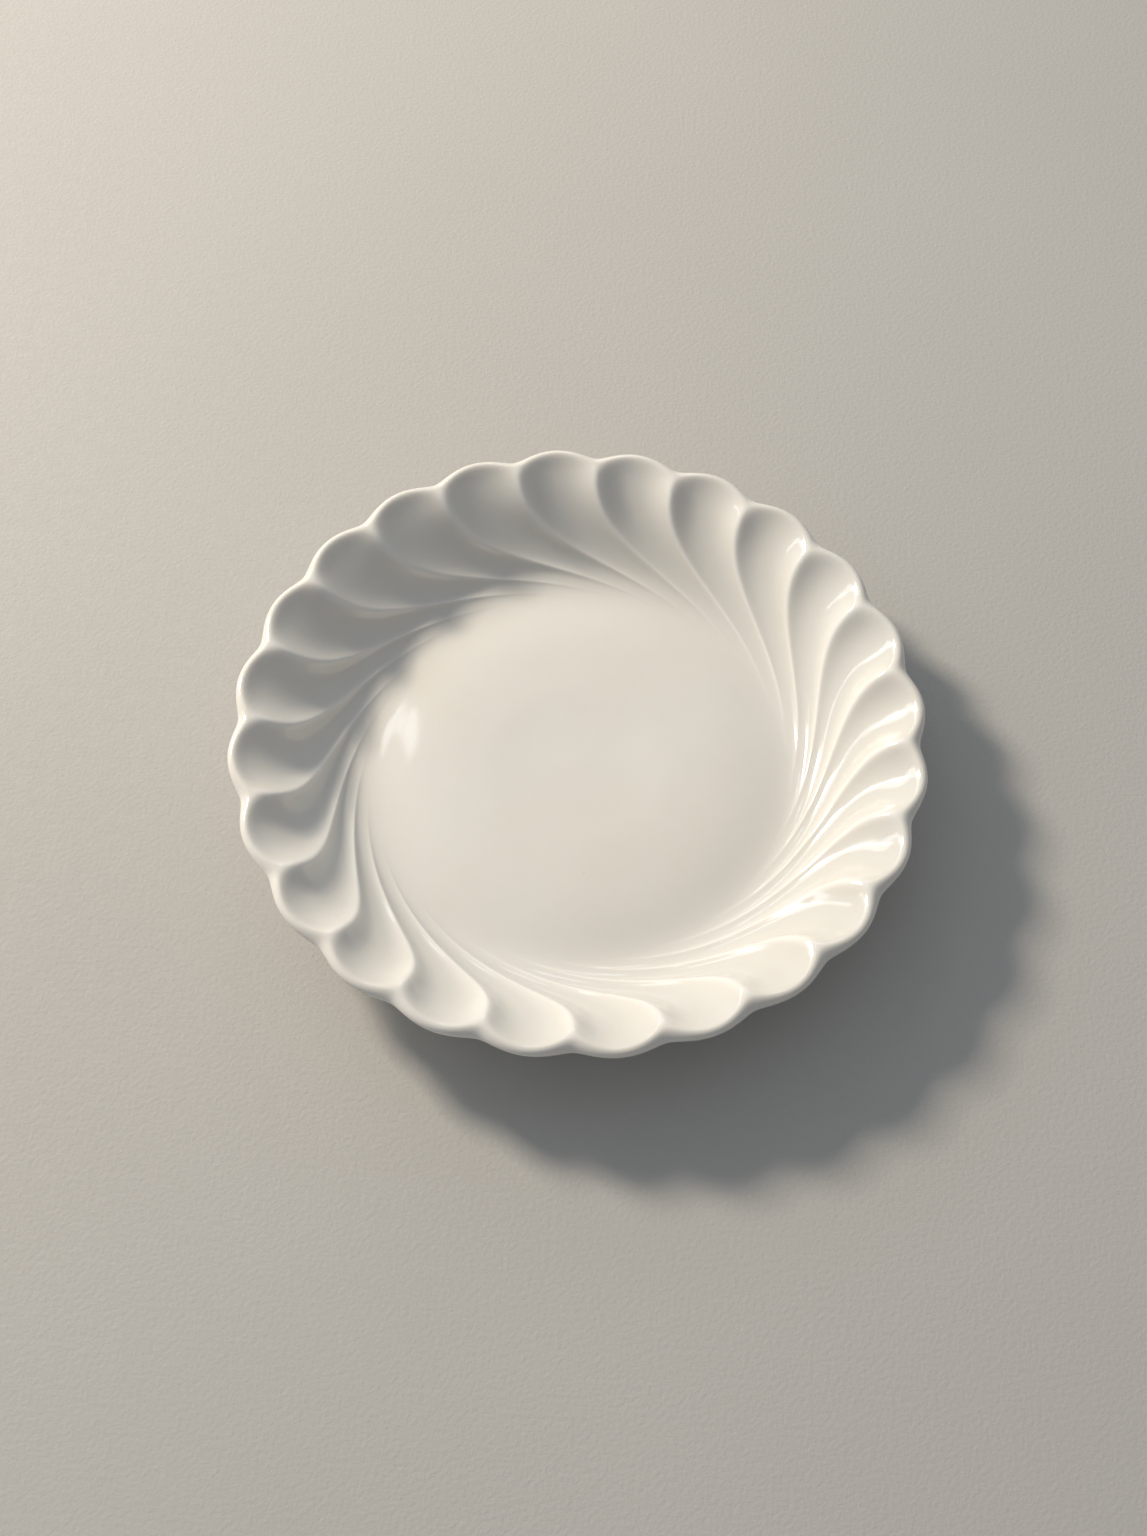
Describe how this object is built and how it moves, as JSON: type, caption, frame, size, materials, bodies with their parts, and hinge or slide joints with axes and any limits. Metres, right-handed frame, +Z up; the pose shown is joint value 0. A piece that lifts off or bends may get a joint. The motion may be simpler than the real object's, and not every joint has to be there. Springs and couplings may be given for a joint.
{
  "type": "scalloped dessert plate",
  "caption": "Shallow round dessert plate with a scalloped rim, swirled flutes on a sloping wall, a smooth, slightly domed well and a turned foot ring to stand on.",
  "frame": {"origin": "middle of the foot ring's standing face, on the plate's axis", "axes": "+Z up along the plate's axis, out of the dish; +X towards a notch of the rim, where one ridge meets it; +Y a quarter turn on"},
  "size_m": [0.1588, 0.1588, 0.0236],
  "materials": {
    "glazed_porcelain": "glossy clear glaze over white porcelain",
    "bare_foot": "unglazed, ground smooth"
  },
  "bodies": {
    "root": {"plate_body": "glazed_porcelain", "foot_ring": "bare_foot"}
  },
  "joints": []
}
